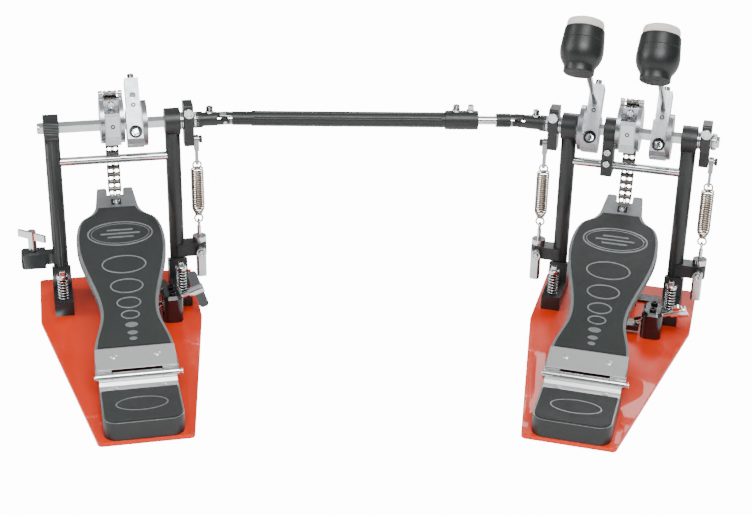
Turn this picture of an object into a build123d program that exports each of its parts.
from build123d import *
import os
from math import acos, asin, atan2, cos, degrees, hypot, pi, radians, sin

# Double bass drum pedal: a main pedal with two beaters, a second pedal to its left, and a
# telescopic shaft with two universal joints that carries the second pedal's drive across.
# Millimetres. The main pedal stands square: +X to the player's right, +Y towards the drum, +Z up.
# The origin is on the floor, straight below the middle of the main axle.

# ---- driving dimensions: layout ----
POST_SPACING = 126.0          # between the centre lines of a pedal's two posts
AXLE_HEIGHT = 198.0           # floor to axle
HINGE_REACH = 237.0           # axle to heel hinge pin, along Y
HINGE_HEIGHT = 28.0           # floor to heel hinge pin
SLAVE_YAW = 28.0              # the second pedal is turned outwards by this many degrees
SHAFT_YAW = 16.9              # heading of the driveshaft
SHAFT_LENGTH = 314.5          # between the two universal joints' centres
JOINT_REACH = 34.0            # spring rocker to universal joint

# ---- frame ----
PLATE_THICKNESS = 4.5
PLATE_TOE = 41.0              # plate edge in front of the axle
PLATE_HEEL = 317.0            # plate edge behind the axle
POST_DIAMETER = 16.0
CAP_RADIUS = 14.2             # bearing housing on top of a post
CAP_WIDTH = 16.0
FOOT_WIDTH = 20.0
FOOT_REACH = 53.0             # spur lug, from the post towards the player
LUG_HEIGHT = 15.5
SPUR_REACH = 42.0
SPUR_RADIUS = 3.0
SPUR_TRAVEL = 6.0             # how far a spur screws down through the plate
CROSSBAR_HEIGHT = 159.5
CROSSBAR_RADIUS = 4.5
HANGER_X = -19.75             # centre of the hanger that carries both inner axle ends
HANGER_WIDTH = 12.0
BEARING_RADIUS = 11.0
BEARING_WIDTH = 6.0
HANGER_BEARING_WIDTH = 4.0

# ---- drive ----
AXLE_FLATS = 11.0             # across flats
CHAIN_PITCH = 8.0
CHAIN_WIDTH = 14.0
ROLLER_RADIUS = 2.3
CHAIN_PLATE = 6.4             # height of a chain plate
CAM_SPACE = 16.0              # between the cam's two discs
CAM_DISC = 4.4
CAM_LINK_ANGLE = 14.0         # one chain link on the cam covers this angle
STROKE = 54.0                 # beater swing, rest to drumhead
BEATER_LEAN = 55.0            # beater rod from the vertical at rest
HUB_WIDTH = 17.5
FLANGE_WIDTH = 4.0
HUB_TOP = 47.0
HUB_BOTTOM = 24.0
HUB_DEPTH = 13.0
LEFT_HUB_X = -39.5
RIGHT_HUB_X = 32.5
BLANK_HUB_X = 23.5
ROD_OFFSET = 28.0             # axle to beater rod
ROD_RADIUS = 3.15
ROD_REACH = 182.0             # hub to beater head
ROD_TAIL = 24.0
HEAD_RADIUS = 21.0
HEAD_LENGTH = 38.0
FACE_RADIUS = 14.8             # hard face at the player's end
FELT_RADIUS = 18.0
FELT_PROUD = 9.0

# ---- spring set ----
SPRING_GAP = 3.0              # spring rocker to the spring's plane
ROCKER_WIDTH = 10.0
ROCKER_SPACE = 4.0            # bearing housing to rocker
ROCKER_PIN_RADIUS = 22.0      # axle to hook pin
HOOK_LENGTH = 24.0            # hook pin to the ring hole
HOOK_HOLE = 2.2
EYE_HEIGHT = 78.5             # floor to the anchor eye's centre
EYE_HOLE = 2.3
WIRE_RADIUS = 0.9
RING_RADIUS = 4.4
COIL_RADIUS = 7.1
ARM_BOTTOM = 43.0
ARM_HEIGHT = 14.0
ARM_DEPTH = 18.0
LEVER_LENGTH = 32.0
LEVER_WIDTH = 10.5
EYE_BOLT_RADIUS = 2.2
LEVER_SCREW_RADIUS = 2.0

# ---- footboard and heel ----
BOARD_LENGTH = 277.0          # hinge pin to toe edge, along the board
BOARD_TOP = 3.0               # board's top face above the line from hinge to toe pin
BOARD_THICKNESS = 8.0
TOE_PIN_STATION = 267.0
TOE_PIN_HEIGHT = 109.5        # floor to the chain's lower pin
TOE_HALF_WIDTH = 19.0
SLOT_WIDTH = 17.4
TREAD_INSET = 3.0
TREAD_THICKNESS = 1.2
HEEL_HALF_WIDTH = 37.8
HEEL_TOP = 23.0
HEEL_CORNER = 13.0
HEEL_RIM = 1.8                # bare rim round the heel's pad
KNUCKLE_RADIUS = 4.5
PIN_RADIUS = 2.2

# ---- driveshaft ----
YOKE_RADIUS = 7.4
EAR_REACH = 4.6               # fork ears past the joint's centre
EAR_ROOT = 8.5                # where a fork becomes a full bar
EAR_GAP = 3.9                 # half the space between a fork's ears
EAR_HALF_WIDTH = 3.1
YOKE_LENGTH = 29.0
TUBE_RADIUS = 8.2
TUBE_END = 236.0              # joint centre to the end of the fluted tube
COLLAR_RADIUS = 10.2
COLLAR_LENGTH = 35.0
SLIDE_ROD_RADIUS = 4.6
ROD_YOKE_LENGTH = 24.0
AXLE_YOKE_LENGTH = 24.0
CROSS_RADIUS = 2.1
ROD_INSIDE = 120.0            # rod hidden in the tube

# ---- clamps ----
CLAMP_PIVOT_Y = -10.0
CLAMP_PIVOT_Z = 12.0
JAW_BOTTOM = 26.0             # underside of the hoop clamp's fixed upper jaw
WING_TILT = 20.0

RUNNING = 0.05                # radial clearance of a running fit
GAP = 0.4                     # clear space between parts that move past each other

# ---- worked out from the values above ----
HALF = POST_SPACING / 2
PITCH_RADIUS = CHAIN_PITCH / 2 / sin(radians(CAM_LINK_ANGLE / 2))
BOARD_ANGLE = degrees(asin((TOE_PIN_HEIGHT - HINGE_HEIGHT) / TOE_PIN_STATION))
HUB_LEAN = 90.0 - BEATER_LEAN
CAP_OUTSIDE = HALF + CAP_WIDTH / 2
ROCKER_INSIDE = CAP_OUTSIDE + ROCKER_SPACE
ROCKER_OUTSIDE = ROCKER_INSIDE + ROCKER_WIDTH
SPRING_X = ROCKER_OUTSIDE + SPRING_GAP
JOINT_OFFSET = ROCKER_OUTSIDE + JOINT_REACH
JOURNAL_RADIUS = AXLE_FLATS / 3 ** 0.5 + 0.15
WING_POINT = (HALF + 8.0, -78.0, 34.0)
STAND_CLAMP_X = -HALF - 28.5
SHAFT_HEADING = Vector(cos(radians(SHAFT_YAW)), sin(radians(SHAFT_YAW)), 0)
MAIN_JOINT = Vector(-JOINT_OFFSET, 0, AXLE_HEIGHT)
SLAVE_JOINT = MAIN_JOINT - SHAFT_HEADING * SHAFT_LENGTH
SLAVE_AXLE = Vector(cos(radians(SLAVE_YAW)), sin(radians(SLAVE_YAW)), 0)
SLAVE_ORIGIN = SLAVE_JOINT - SLAVE_AXLE * JOINT_OFFSET - Vector(0, 0, AXLE_HEIGHT)
SLAVE_PLACE = Location(SLAVE_ORIGIN, (0, 0, SLAVE_YAW))
MAIN_PLACE = Location((0, 0, 0))


# ---- geometry of the drive, in the pedal's own Y-Z plane ----
def toe_pin(press):
    """Chain's lower pin when the footboard is pressed down by so many degrees."""
    angle = radians(BOARD_ANGLE - press)
    return (-HINGE_REACH + TOE_PIN_STATION * cos(angle), HINGE_HEIGHT + TOE_PIN_STATION * sin(angle))


def chain_run(press):
    """Straight run of chain from the toe pin to the cam: length, and the cam angle it leaves at.

    Cam angles count from the top of the cam towards the drum.
    """
    y, z = toe_pin(press)
    drop = AXLE_HEIGHT - z
    reach = hypot(y, drop)
    return (reach ** 2 - PITCH_RADIUS ** 2) ** 0.5, pi - atan2(y, drop) - acos(PITCH_RADIUS / reach)


def press_for_stroke():
    """Footboard angle at which the chain has turned the cam by the whole stroke."""
    length, leave = chain_run(0)
    low, high = 0.0, 20.0
    for _ in range(50):
        middle = (low + high) / 2
        run, angle = chain_run(middle)
        if run + PITCH_RADIUS * (angle - leave - radians(STROKE)) < length:
            low = middle
        else:
            high = middle
    return low


def chain_pins():
    """Centres (y, z) of the chain's pins, from the toe up and over the cam."""
    length, leave = chain_run(0)
    y, z = toe_pin(0)
    heading = ((PITCH_RADIUS * sin(leave) - y) / length, (AXLE_HEIGHT + PITCH_RADIUS * cos(leave) - z) / length)
    pins = [(y, z)]
    while len(pins) * CHAIN_PITCH < length:
        step = len(pins) * CHAIN_PITCH
        pins.append((y + heading[0] * step, z + heading[1] * step))
    beyond = length - (len(pins) - 1) * CHAIN_PITCH
    first = leave - acos((2 * PITCH_RADIUS ** 2 + beyond ** 2 - CHAIN_PITCH ** 2)
                         / (2 * PITCH_RADIUS * hypot(PITCH_RADIUS, beyond))) + atan2(beyond, PITCH_RADIUS)
    angle = first
    while angle > -radians(CAM_LINK_ANGLE) / 2:
        pins.append((PITCH_RADIUS * sin(angle), AXLE_HEIGHT + PITCH_RADIUS * cos(angle)))
        angle -= radians(CAM_LINK_ANGLE)
    return pins[:len(pins) // 2 * 2]


def spring_line(turn):
    """Length and lean (degrees about +X) of the line from anchor eye to hook pin."""
    y = -ROCKER_PIN_RADIUS * sin(radians(turn))
    z = AXLE_HEIGHT - ROCKER_PIN_RADIUS * cos(radians(turn)) - EYE_HEIGHT
    return hypot(y, z), degrees(atan2(-y, z))


# ---- small helpers ----
def block(x0, x1, y0, y1, z0, z1):
    return Pos((x0 + x1) / 2, (y0 + y1) / 2, (z0 + z1) / 2) * Box(abs(x1 - x0), abs(y1 - y0), abs(z1 - z0))


def round_x(radius, x0, x1, y=0.0, z=0.0):
    return Pos((x0 + x1) / 2, y, z) * Rot(0, 90, 0) * Cylinder(radius, abs(x1 - x0))


def round_y(radius, y0, y1, x=0.0, z=0.0):
    return Pos(x, (y0 + y1) / 2, z) * Rot(90, 0, 0) * Cylinder(radius, abs(y1 - y0))


def round_z(radius, z0, z1, x=0.0, y=0.0):
    return Pos(x, y, (z0 + z1) / 2) * Cylinder(radius, abs(z1 - z0))


def hex_x(flats, x0, x1):
    return Pos(x0, 0, 0) * Rot(0, 90, 0) * extrude(RegularPolygon(flats / 2, 6, major_radius=False), x1 - x0)


def plate_x(points, x0, x1, corner=0.0):
    """Flat plate from x0 to x1 with a (y, z) outline."""
    face = Plane.YZ * Polygon(*points, align=None)
    if corner:
        face = fillet(face.vertices(), corner)
    return Pos(x0, 0, 0) * extrude(face, x1 - x0, dir=(1, 0, 0))


def write(node, place, *solids):
    """One STEP file for a node, its solids moved to the pedal they belong to."""
    pieces = []
    for solid in solids:
        pieces += (place * solid).solids()
    shape = pieces[0] if len(pieces) == 1 else Compound(children=pieces)
    shape.label = node
    export_step(shape, f"parts/{node}.step")


# ---- frame ----
def base_plate(outer):
    """Steel floor plate; outer is +1 when its wide side is at +X."""
    corners = [(HALF + 24, PLATE_TOE), (HALF + 25.5, -60), (43.5, -PLATE_HEEL), (-45.5, -PLATE_HEEL),
               (-HALF - 17, -78), (-HALF - 18, PLATE_TOE)]
    face = fillet(Polygon(*[(x * outer, y) for x, y in corners], align=None).vertices(), 5)
    plate = extrude(face, PLATE_THICKNESS, dir=(0, 0, 1))
    for side in (-1, 1):
        plate -= round_z(SPUR_RADIUS + 1, -1, PLATE_THICKNESS + 1, side * HALF, -SPUR_REACH)
    return plate


def bearing_seat(x, width):
    """Bores of a housing: a seat of this width and a clear way for the axle."""
    seat = round_x(BEARING_RADIUS, x - width / 2, x + width / 2, 0, AXLE_HEIGHT)
    return seat + round_x(JOURNAL_RADIUS + 1.5, x - CAP_WIDTH, x + CAP_WIDTH, 0, AXLE_HEIGHT)


def post(side, spring_arm):
    """Post with its bearing housing, foot and, where a spring hangs, the spring's arm."""
    x = side * HALF
    column = round_z(POST_DIAMETER / 2, PLATE_THICKNESS, AXLE_HEIGHT - 6, x)
    shape = column + round_x(CAP_RADIUS, x - CAP_WIDTH / 2, x + CAP_WIDTH / 2, 0, AXLE_HEIGHT)
    half = FOOT_WIDTH / 2
    foot = [(12, PLATE_THICKNESS), (12, 34), (-10, 42), (-13, PLATE_THICKNESS + LUG_HEIGHT),
            (-FOOT_REACH, PLATE_THICKNESS + LUG_HEIGHT), (-FOOT_REACH, PLATE_THICKNESS)]
    shape += plate_x(foot, x - half, x + half)
    if spring_arm:
        tip = SPRING_X + LEVER_WIDTH / 2 + 2
        depth = ARM_DEPTH / 2
        arm = block(0, tip - HALF, -depth, depth, ARM_BOTTOM, ARM_BOTTOM + ARM_HEIGHT)
        arm = fillet(arm.edges().filter_by(Axis.Z).sort_by(Axis.X)[-2:], 5)
        arm = Pos(HALF, 0, 0) * arm
        shape += arm if side > 0 else mirror(arm, about=Plane.YZ)
        shape -= round_z(EYE_BOLT_RADIUS, ARM_BOTTOM - 1, ARM_BOTTOM + ARM_HEIGHT + 1, side * SPRING_X)
        shape -= round_y(LEVER_SCREW_RADIUS, -depth - 1, -1, side * SPRING_X, ARM_BOTTOM + ARM_HEIGHT / 2)
    shape -= bearing_seat(x, BEARING_WIDTH)
    shape -= round_x(CROSSBAR_RADIUS, x - side * POST_DIAMETER, x, 0, CROSSBAR_HEIGHT)
    shape -= round_z(SPUR_RADIUS + RUNNING, 0, AXLE_HEIGHT, x, -SPUR_REACH)
    return shape


def crossbar():
    return round_x(CROSSBAR_RADIUS, -HALF, HALF, 0, CROSSBAR_HEIGHT)


def centre_hanger():
    """Casting on the crossbar that carries the inner ends of both axles."""
    low, high = HANGER_X - HANGER_WIDTH / 2, HANGER_X + HANGER_WIDTH / 2
    shape = round_x(CAP_RADIUS, low, high, 0, AXLE_HEIGHT)
    shape += block(low, high, -CAP_RADIUS + 2, 8, CROSSBAR_HEIGHT - 9, AXLE_HEIGHT)
    shape -= round_x(CROSSBAR_RADIUS, low - 1, high + 1, 0, CROSSBAR_HEIGHT)
    return shape - bearing_seat(HANGER_X, 2 * HANGER_BEARING_WIDTH)


def bearing(x, width):
    ring = round_x(BEARING_RADIUS, x - width / 2, x + width / 2, 0, AXLE_HEIGHT)
    return ring - round_x(JOURNAL_RADIUS + RUNNING, x - width, x + width, 0, AXLE_HEIGHT)


def spring_anchor(side):
    """Eye bolt through the spring arm, and the knurled nut that tensions the spring."""
    x, top = side * SPRING_X, ARM_BOTTOM + ARM_HEIGHT
    wire = 1.3
    eye = Pos(x, 0, EYE_HEIGHT) * Rot(0, 90, 0) * Torus(EYE_HOLE + wire, wire)
    shank = round_z(EYE_BOLT_RADIUS, ARM_BOTTOM - 4, EYE_HEIGHT - EYE_HOLE - wire, x)
    nut = round_z(7.6, top, top + 6.5, x) - round_z(EYE_BOLT_RADIUS, top - 1, top + 9, x)
    return [eye + shank, nut]


def spur(side):
    """Pointed screw that bites into the carpet, with its spring."""
    x = side * HALF
    lug = PLATE_THICKNESS + LUG_HEIGHT
    shank = round_z(SPUR_RADIUS, 8, 46, x, -SPUR_REACH)
    point = Pos(x, -SPUR_REACH, 4.5) * Cone(0.6, SPUR_RADIUS, 7)
    head = round_z(6, 44, 48, x, -SPUR_REACH) + Pos(x, -SPUR_REACH, 50) * Box(5.5, 5.5, 5)
    low = lug + SPUR_TRAVEL + GAP
    coil = round_z(4.7, low, 44, x, -SPUR_REACH) - round_z(3.6, low, 43.5, x, -SPUR_REACH)
    return shank + point + head + coil


def heel_plate():
    """Moulded heel block with the fixed knuckle of the heel hinge."""
    front = -PLATE_HEEL + 1
    back = -HINGE_REACH - KNUCKLE_RADIUS - 1.5
    shape = block(-HEEL_HALF_WIDTH, HEEL_HALF_WIDTH, front, back, PLATE_THICKNESS, HEEL_TOP)
    shape = fillet(shape.edges().filter_by(Axis.Z).sort_by(Axis.Y)[:2], HEEL_CORNER)
    shape += block(-24, 24, back, -HINGE_REACH, HINGE_HEIGHT - 4, HINGE_HEIGHT - 1)
    shape += block(-24, 24, back - 2, back + 2, HEEL_TOP - 4, HINGE_HEIGHT - 1)
    shape += round_x(KNUCKLE_RADIUS, -24, 24, -HINGE_REACH, HINGE_HEIGHT)
    return shape - round_x(PIN_RADIUS, -30, 30, -HINGE_REACH, HINGE_HEIGHT)


def heel_tread():
    """Rubber pad on the heel block."""
    half = HEEL_HALF_WIDTH - HEEL_RIM
    pad = block(-half, half, -PLATE_HEEL + 1 + HEEL_RIM, -HINGE_REACH - 20, HEEL_TOP, HEEL_TOP + 2)
    return fillet(pad.edges().filter_by(Axis.Z).sort_by(Axis.Y)[:2], HEEL_CORNER - HEEL_RIM)


def hinge_pin():
    end = 41.5
    pin = round_x(PIN_RADIUS, -end, end, -HINGE_REACH, HINGE_HEIGHT)
    return pin + round_x(3.4, end, end + 2, -HINGE_REACH, HINGE_HEIGHT)


# ---- footboard ----
def board_place():
    return Location((0, -HINGE_REACH, HINGE_HEIGHT), (BOARD_ANGLE, 0, 0))


def board_outline(start, end, inset):
    """Face of the board between two stations, narrowed by inset on each side."""
    side = [(40.0, 12), (38.6, 34), (29.5, 76), (38.5, 140), (45.6, 200), (36.5, 228)]
    neck = (22.5, 246)
    side = [(x - inset, max(y, start)) for x, y in side]
    neck = (neck[0] - inset, min(neck[1], end))
    edge = Spline(*side[1:], neck, tangents=[(-0.12, 1), (-0.25, 1)])
    toe = Polyline(neck, (min(TOE_HALF_WIDTH, neck[0]), end), (0, end)) if end > neck[1] \
        else Line(neck, (0, end))
    half = make_face(Polyline((0, start), (side[0][0], start), side[1]) + edge + toe
                     + Line((0, end), (0, start)))
    return half + mirror(half, about=Plane.YZ)


def footboard():
    """Board casting with toe slot, chain pin, and the two moving knuckles of the heel hinge."""
    bottom = BOARD_TOP - BOARD_THICKNESS
    board = Pos(0, 0, bottom) * extrude(board_outline(KNUCKLE_RADIUS + 5, BOARD_LENGTH, 0), BOARD_THICKNESS)
    slot_end = TOE_PIN_STATION - CHAIN_PLATE / 2 - GAP
    board -= block(-SLOT_WIDTH / 2, SLOT_WIDTH / 2, slot_end, BOARD_LENGTH + 1, -20, 20)
    board = fillet(board.edges().filter_by(Axis.Z).sort_by(Axis.Y)[-4:], 2.5)
    board += round_x(1.1, -SLOT_WIDTH / 2 - 2, SLOT_WIDTH / 2 + 2, TOE_PIN_STATION, 0)
    for side in (-1, 1):
        low, high = sorted((side * (24 + GAP), side * 40))
        board += round_x(KNUCKLE_RADIUS, low, high)
        board += block(low, high, 0, KNUCKLE_RADIUS + 6, -1, 2.5)
    board -= round_x(PIN_RADIUS + RUNNING, -50, 50)
    return board_place() * board


def footboard_tread():
    """Ribbed cover let into the top of the footboard."""
    return board_place() * Pos(0, 0, BOARD_TOP) * extrude(board_outline(36, 244, TREAD_INSET), TREAD_THICKNESS)


# ---- chain ----
def chain_link(outer):
    """One duplex link between two pins a pitch apart, lying along +Y."""
    half = CHAIN_PITCH / 2
    pin = 1.1
    sheet = 0.9
    edge, centre = CHAIN_WIDTH / 2 - 0.5, 1.1
    inner = edge - 1.1
    offsets = (-edge, 0.0, edge) if outer else (-inner, -centre, centre, inner)
    link = None
    for x in offsets:
        plate = block(x - sheet / 2, x + sheet / 2, -half, half, -CHAIN_PLATE / 2, CHAIN_PLATE / 2)
        for end in (-half, half):
            plate += round_x(CHAIN_PLATE / 2, x - sheet / 2, x + sheet / 2, end)
        link = plate if link is None else link + plate
    for end in (-half, half):
        if outer:
            link += round_x(pin, -CHAIN_WIDTH / 2, CHAIN_WIDTH / 2, end)
        else:
            link += round_x(ROLLER_RADIUS, -inner, -centre, end) + round_x(ROLLER_RADIUS, centre, inner, end)
            link -= round_x(pin + 0.15, -CHAIN_WIDTH, CHAIN_WIDTH, end)
    return link


def chain():
    """Chain from the footboard's toe pin, up on the drum side and over the cam."""
    pins = chain_pins()
    links = []
    for number, (low, high) in enumerate(zip(pins, pins[1:])):
        lean = degrees(atan2(high[1] - low[1], high[0] - low[0]))
        middle = (0, (low[0] + high[0]) / 2, (low[1] + high[1]) / 2)
        links.append(Location(middle, (lean, 0, 0)) * chain_link(outer=number % 2 == 1))
    return links


# ---- drive ----
def axle(x0, x1, journals):
    """Hexagonal axle with a round journal at each bearing."""
    shape = Pos(0, 0, AXLE_HEIGHT) * hex_x(AXLE_FLATS, x0, x1)
    for start, end in journals:
        shape += round_x(JOURNAL_RADIUS, start, end, 0, AXLE_HEIGHT)
    return shape


def cap_span(side):
    """Stretch of axle inside the bearing housing on that side."""
    return side * HALF - CAP_WIDTH / 2, side * HALF + CAP_WIDTH / 2


def hex_bore(x0, x1):
    return Pos(0, 0, AXLE_HEIGHT) * hex_x(AXLE_FLATS, x0, x1)


def cam():
    """Chain wheel: a drum sector between two side discs, with ears that hold the chain's end."""
    inner, disc = CAM_SPACE / 2, CAM_DISC
    seat = PITCH_RADIUS - CHAIN_PLATE / 2 - GAP
    body = round_x(18, -inner, inner, 0, AXLE_HEIGHT)
    body += block(-inner, inner, -20, 2, AXLE_HEIGHT - 16, AXLE_HEIGHT + 19)
    drum = round_x(seat, -inner, inner, 0, AXLE_HEIGHT)
    drum -= block(-20, 20, -40, -6, AXLE_HEIGHT - 40, AXLE_HEIGHT + 40)
    drum -= block(-20, 20, -40, 40, AXLE_HEIGHT - 40, AXLE_HEIGHT - 14)
    shape = body + drum
    anchor_y, anchor_z = chain_pins()[-1]
    for side in (-1, 1):
        low, high = sorted((side * inner, side * (inner + disc)))
        shape += round_x(24, low, high, 0, AXLE_HEIGHT + 5)
        shape += round_x(3.4, low, high, anchor_y, anchor_z)
        shape += block(low, high, anchor_y - 3.4, anchor_y + 3.4, AXLE_HEIGHT, anchor_z)
    shape += round_x(1.1, -inner - 1, inner + 1, anchor_y, anchor_z)
    return shape - hex_bore(-20, 20)


def hub_place(x):
    """Hub frame: +Z along the hub's long side, +Y towards the drum, at the axle."""
    return Location((x, 0, AXLE_HEIGHT), (-HUB_LEAN, 0, 0))


def beater_hub(x, flange_side):
    """Cast hub clamped on the axle, with a cross hole for the beater rod."""
    half = HUB_WIDTH / 2
    lower = block(-half, half, -HUB_DEPTH, HUB_DEPTH, -HUB_BOTTOM, 14)
    upper = block(-half + 1.5, half - 1.5, -HUB_DEPTH + 3, HUB_DEPTH - 3, 14, HUB_TOP)
    shape = lower + upper
    shape = chamfer(shape.edges().filter_by(Axis.X).group_by(Axis.Z)[0], 4)
    low, high = sorted((flange_side * (half - 1), flange_side * (half + FLANGE_WIDTH)))
    shape += round_x(24, low, high)
    shape -= round_y(ROD_RADIUS + RUNNING, -30, 30, 0, ROD_OFFSET)
    shape -= round_y(7, -HUB_DEPTH - 1, -HUB_DEPTH + 5, 0, -12.5)
    shape = hub_place(x) * shape
    return shape - hex_bore(x - 30, x + 30)


def spring_rocker(side):
    """Clamp arm on the axle end; its lower pin carries the spring hook."""
    outline = [(-11, 20), (-11, -10), (-6, -ROCKER_PIN_RADIUS - 6), (6, -ROCKER_PIN_RADIUS - 6),
               (11, -10), (11, 20)]
    low, high = sorted((side * ROCKER_INSIDE, side * ROCKER_OUTSIDE))
    shape = plate_x(outline, low, high, 3)
    pin_end = SPRING_X + 2.8
    shape += round_x(2.5, *sorted((side * ROCKER_OUTSIDE, side * (pin_end + 1))), 0, -ROCKER_PIN_RADIUS)
    shape += round_x(4, *sorted((side * (pin_end + 0.4), side * (pin_end + 3.4))), 0, -ROCKER_PIN_RADIUS)
    shape -= round_y(3.2, -12, 12, side * (ROCKER_INSIDE + ROCKER_WIDTH / 2), 13)
    return Pos(0, 0, AXLE_HEIGHT) * shape - hex_bore(*sorted((side * 60, side * 110)))


def spring_hook(side):
    """Link that hangs on the rocker's pin and carries the spring's upper ring."""
    top = AXLE_HEIGHT - ROCKER_PIN_RADIUS
    x = side * SPRING_X
    shape = block(x - 1.5, x + 1.5, -4, 4, top - HOOK_LENGTH - 3.8, top)
    shape += block(x - 2.5, x + 2.5, -4.4, 4.4, top - HOOK_LENGTH / 2, top)
    shape += round_x(4.9, x - 2.5, x + 2.5, 0, top)
    shape -= round_x(2.5 + RUNNING, x - 5, x + 5, 0, top)
    return shape - round_x(HOOK_HOLE, x - 5, x + 5, 0, top - HOOK_LENGTH)


def spring(side):
    """Return spring as a plain hollow barrel with a ring at each end."""
    x = side * SPRING_X
    top_wire = AXLE_HEIGHT - ROCKER_PIN_RADIUS - HOOK_LENGTH - (HOOK_HOLE - WIRE_RADIUS - 0.3)
    low_wire = EYE_HEIGHT + EYE_HOLE - WIRE_RADIUS - 0.1
    top_ring, low_ring = top_wire - RING_RADIUS, low_wire + RING_RADIUS
    high, low = top_ring - RING_RADIUS, low_ring + RING_RADIUS
    barrel = make_face(Polyline((0, low), (4, low), (COIL_RADIUS, low + 9), (COIL_RADIUS, high - 5),
                                (4.5, high), (0, high), close=True))
    bore = make_face(Polyline((0, low + 2.5), (3, low + 2.5), (5, low + 10), (5, high - 6), (3, high - 2.5),
                              (0, high - 2.5), close=True))
    body = revolve(Plane.XZ * (barrel - bore), Axis.Z)
    shape = Pos(x, 0, 0) * body
    for height in (top_ring, low_ring):
        shape += Pos(x, 0, height) * Rot(90, 0, 0) * Torus(RING_RADIUS, WIRE_RADIUS)
    return shape


def tension_lever(side):
    """Hexagonal handle on the front of the spring arm that locks the eye bolt."""
    x, z = side * SPRING_X, ARM_BOTTOM + ARM_HEIGHT / 2
    face = -ARM_DEPTH / 2 - GAP
    half = LEVER_WIDTH / 2
    shape = block(x - half, x + half, face - 9, face, z + 4 - LEVER_LENGTH, z)
    shape = chamfer(shape.edges().filter_by(Axis.Z), 2)
    shape += round_y(half, face - 9, face, x, z)
    return shape + round_y(LEVER_SCREW_RADIUS - RUNNING, face, -3, x, z)


# ---- beaters ----
def rod_place(x):
    """Rod frame: +Z up the beater rod, +Y along the strike, at the hub's cross hole."""
    return hub_place(x) * Location((0, 0, ROD_OFFSET), (90, 0, 0))


def beater_rod(x):
    top = ROD_REACH + 12
    return rod_place(x) * Pos(0, 0, (top - ROD_TAIL) / 2) * Cylinder(ROD_RADIUS, top + ROD_TAIL)


def beater_head(x):
    """Two-way head: felt face towards the drum, hard face towards the player."""
    back = -HEAD_LENGTH / 2
    front = HEAD_LENGTH / 2
    shoulder = HEAD_RADIUS - 0.6
    mouth = HEAD_RADIUS - 1.8
    profile = Polyline((0, back - 6), (FACE_RADIUS, back - 6), (FACE_RADIUS, back), (shoulder - 4, back + 3))
    profile += ThreePointArc((shoulder - 4, back + 3), (shoulder - 0.6, back + 9), (HEAD_RADIUS, back + 17))
    profile += Polyline((HEAD_RADIUS, back + 17), (mouth, front), (FELT_RADIUS, front),
                        (FELT_RADIUS, front + FELT_PROUD), (0, front + FELT_PROUD), (0, back - 6))
    body = revolve(Plane.XZ * make_face(profile), Axis.Z)
    body = Rot(-90, 0, 0) * body
    head = Pos(0, 0, ROD_REACH) * body
    head -= round_z(ROD_RADIUS + RUNNING, 0, ROD_REACH + 12.5)
    return rod_place(x) * head


# ---- driveshaft: built along +X from the joint at its left end ----
def joint_turn():
    """The yokes stand this far off the vertical at rest, so they pass through it in mid stroke."""
    return STROKE / 2


def fork(length, pin_turn, bore):
    """Fork on the end of a round bar that runs to +X; its joint's centre is at the origin."""
    ears = round_x(YOKE_RADIUS, -EAR_REACH, EAR_ROOT + 1)
    ears &= block(-EAR_REACH, EAR_ROOT + 1, -EAR_HALF_WIDTH, EAR_HALF_WIDTH, -YOKE_RADIUS, YOKE_RADIUS)
    ears -= block(-EAR_REACH - 1, EAR_ROOT, -20, 20, -EAR_GAP, EAR_GAP)
    ears -= round_z(bore, -20, 20)
    return Rot(pin_turn, 0, 0) * ears + round_x(YOKE_RADIUS, EAR_ROOT, length)


def driveshaft_tube():
    """Fluted tube with its yoke, the cross of the left joint, and the clamp collar."""
    tube = round_x(TUBE_RADIUS, YOKE_LENGTH, TUBE_END)
    for number in range(8):
        flute = round_x(1.6, YOKE_LENGTH + 3, TUBE_END - 4, 0, TUBE_RADIUS + 0.8)
        tube -= Rot(45 * number + 22.5, 0, 0) * flute
    tube += round_x(COLLAR_RADIUS, TUBE_END, TUBE_END + COLLAR_LENGTH)
    tube -= round_x(SLIDE_ROD_RADIUS + RUNNING, YOKE_LENGTH + 12, TUBE_END + COLLAR_LENGTH + 1)
    yoke = fork(YOKE_LENGTH, joint_turn(), CROSS_RADIUS)
    bend = SLAVE_YAW - SHAFT_YAW
    return [tube + yoke, joint_cross(bend)]


def joint_cross(bend):
    """Cross of a universal joint, turned by the bend about its pin in the shaft's yoke."""
    width = 2 * (EAR_GAP - GAP)
    span = 2 * YOKE_RADIUS - 0.6
    cross = Box(width, width, width) + Cylinder(CROSS_RADIUS, span)
    cross += Rot(90, 0, 0) * Cylinder(CROSS_RADIUS, span)
    tilt = bend * (1 + cos(radians(STROKE / 2))) / 2
    return Rot(joint_turn(), 0, 0) * Rot(0, 0, tilt) * cross


def driveshaft_rod():
    """Rod that slides in the tube, with its yoke and the cross of the right joint."""
    start = TUBE_END + COLLAR_LENGTH - ROD_INSIDE - SHAFT_LENGTH
    rod = round_x(SLIDE_ROD_RADIUS, start, -ROD_YOKE_LENGTH + 2)
    yoke = Rot(0, 0, 180) * fork(ROD_YOKE_LENGTH, -joint_turn(), CROSS_RADIUS)
    return [rod + yoke, joint_cross(-SHAFT_YAW)]


def shaft_place(joint):
    return Location(joint, (0, 0, SHAFT_YAW))


def axle_yoke(side):
    """Yoke on an axle's end; the joint centre is at JOINT_OFFSET on that side."""
    turn = joint_turn() + 90
    collar = round_x(8.6, AXLE_YOKE_LENGTH, AXLE_YOKE_LENGTH + 7)
    shape = fork(AXLE_YOKE_LENGTH, -side * turn, CROSS_RADIUS + 1.5 * GAP) + collar
    if side > 0:
        shape = Rot(0, 0, 180) * shape
    return Pos(side * JOINT_OFFSET, 0, AXLE_HEIGHT) * shape


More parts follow.
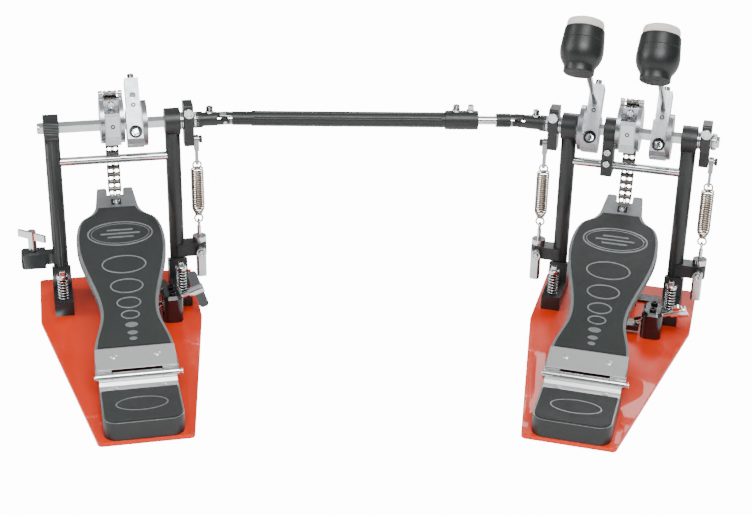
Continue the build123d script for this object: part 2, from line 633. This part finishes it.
# ---- clamps ----
def clamp_housing():
    """Black casting on the plate: fixed upper jaw, lever pivot and screw block."""
    floor = PLATE_THICKNESS
    shape = block(38, 60, -90, -58, floor, 34)
    shape = fillet(shape.edges().filter_by(Axis.Z), 7)
    shape = chamfer(shape.edges().group_by(Axis.Z)[-1], 3)
    shape += block(40, 50, -62, -4, floor, 13)
    shape += block(-26, 50, -4, 12, floor, 7)
    for x0, x1 in ((-26, -16), (16, 26)):
        shape += block(x0, x1, -16, 12, floor, JAW_BOTTOM + 8)
    shape += block(-26, 26, -4, 40, JAW_BOTTOM, JAW_BOTTOM + 8)
    shape += round_x(3, -20, 20, CLAMP_PIVOT_Y, CLAMP_PIVOT_Z)
    return shape - wing_place() * Cylinder(3 + GAP, 120)


def clamp_lever():
    """Rocking lever: its front is the lower jaw and its tail is pushed down by the wing bolt."""
    shape = block(-15, 15, -16, 38, 9, 15) + round_x(6, -15, 15, CLAMP_PIVOT_Y, CLAMP_PIVOT_Z)
    shape += block(-6, 6, -72, -10, 10, 16)
    shape += block(-6, 36, -86, -70, 10, 16)
    return shape - round_x(3 + RUNNING, -30, 30, CLAMP_PIVOT_Y, CLAMP_PIVOT_Z)


def wing_place():
    """Clamp screw frame: +Z out of the screw block towards the wing."""
    return Location(WING_POINT, (0, 90 - WING_TILT, 0))


def wing_bolt(turn):
    """Screw with a round boss and two flat wings, turned about its axis."""
    screw = round_z(3, -43, 0)
    boss = round_z(5, -4, 12)
    wings = block(-20, 20, -1.6, 1.6, 1, 11)
    wings = fillet(wings.edges().filter_by(Axis.Y), 3.5)
    return Rot(0, 0, turn) * (screw + boss + wings)


def stand_clamp():
    """Jaw on the second pedal's left post that grips the leg of a hi-hat stand."""
    x = STAND_CLAMP_X
    shape = block(x - 13, x + 13, -10, 10, 42, 58.5)
    shape = fillet(shape.edges().filter_by(Axis.Y).sort_by(Axis.X)[:2], 4)
    shape += block(x + 12, -HALF, -7, 7, 45, 57)
    shape -= block(x - 20, x + 10, -3, 12, 46, 53)
    return shape - round_z(3 + GAP, 50, 60, x, 2)


def stand_wing_bolt():
    screw = round_z(3, -12, 0) + round_z(4.5, -6, 16)
    wings = block(-18, 18, -1.5, 1.5, 6, 14)
    return Pos(STAND_CLAMP_X, 2, 66) * Rot(0, 0, -40) * (screw + wings)


# ---- the whole object ----
def pedal(name, place, outer, spring_sides):
    """Parts that both pedals share."""
    write(f"{name}_base_plate", place, base_plate(outer))
    for side, word in ((-1, "left"), (1, "right")):
        shape = post(side, side in spring_sides)
        if name == "slave" and side < 0:
            shape += stand_clamp()
        write(f"{name}_{word}_post", place, shape)
    write(f"{name}_crossbar", place, crossbar())
    write(f"{name}_spring_anchors", place, *[s for side in spring_sides for s in spring_anchor(side)])
    write(f"{name}_spurs", place, spur(-1), spur(1))
    write(f"{name}_heel_plate", place, heel_plate())
    write(f"{name}_heel_tread", place, heel_tread())
    write(f"{name}_hinge_pin", place, hinge_pin())
    write(f"{name}_footboard", place, footboard())
    write(f"{name}_footboard_tread", place, footboard_tread())
    write(f"{name}_chain", place, *chain())
    write(f"{name}_cam", place, cam())
    write(f"{name}_clamp_housing", place, clamp_housing())
    write(f"{name}_clamp_lever", place, clamp_lever())


def spring_set(name, place, side):
    """A return spring and what hangs it between its rocker and its arm."""
    write(f"{name}_spring_rocker", place, spring_rocker(side))
    write(f"{name}_spring_hook", place, spring_hook(side))
    write(f"{name}_spring", place, spring(side))
    write(f"{name}_tension_lever", place, tension_lever(side))


def main():
    os.makedirs("parts", exist_ok=True)
    pedal("main", MAIN_PLACE, 1, (-1, 1))
    pedal("slave", SLAVE_PLACE, -1, (1,))
    spring_set("right", MAIN_PLACE, 1)
    spring_set("left", MAIN_PLACE, -1)
    spring_set("slave", SLAVE_PLACE, 1)

    inner = HANGER_BEARING_WIDTH / 2
    write("main_centre_hanger", MAIN_PLACE, centre_hanger())
    outer_rings = [bearing(side * HALF, BEARING_WIDTH) for side in (-1, 1)]
    inner_rings = [bearing(HANGER_X + side * inner, HANGER_BEARING_WIDTH) for side in (-1, 1)]
    write("main_bearings", MAIN_PLACE, *outer_rings, *inner_rings)
    write("slave_bearings", SLAVE_PLACE, *outer_rings)

    end = ROCKER_OUTSIDE + 9
    half_hanger = HANGER_WIDTH / 2
    gap = GAP / 2
    main_axle = axle(HANGER_X + gap, end, [(HANGER_X + gap, HANGER_X + half_hanger), cap_span(1)])
    write("main_axle", MAIN_PLACE, main_axle)
    left_end = -JOINT_OFFSET + AXLE_YOKE_LENGTH + 1
    left_axle = axle(left_end, HANGER_X - gap, [(HANGER_X - half_hanger, HANGER_X - gap), cap_span(-1)])
    write("left_axle", MAIN_PLACE, left_axle + axle_yoke(-1))
    slave_axle = axle(-CAP_OUTSIDE - 4, JOINT_OFFSET - AXLE_YOKE_LENGTH - 1, [cap_span(-1), cap_span(1)])
    write("slave_axle", SLAVE_PLACE, slave_axle + axle_yoke(1))

    write("right_beater_hub", MAIN_PLACE, beater_hub(RIGHT_HUB_X, 1))
    write("left_beater_hub", MAIN_PLACE, beater_hub(LEFT_HUB_X, -1))
    write("slave_blank_hub", SLAVE_PLACE, beater_hub(BLANK_HUB_X, 1))
    for word, x in (("right", RIGHT_HUB_X), ("left", LEFT_HUB_X)):
        write(f"{word}_beater_rod", MAIN_PLACE, beater_rod(x))
        write(f"{word}_beater_head", MAIN_PLACE, beater_head(x))

    write("driveshaft_tube", shaft_place(SLAVE_JOINT), *driveshaft_tube())
    write("driveshaft_rod", shaft_place(MAIN_JOINT), *driveshaft_rod())

    write("main_wing_bolt", MAIN_PLACE * wing_place(), wing_bolt(50))
    write("slave_wing_bolt", SLAVE_PLACE * wing_place(), wing_bolt(-20))
    write("stand_wing_bolt", SLAVE_PLACE, stand_wing_bolt())


if __name__ == "__main__":
    main()
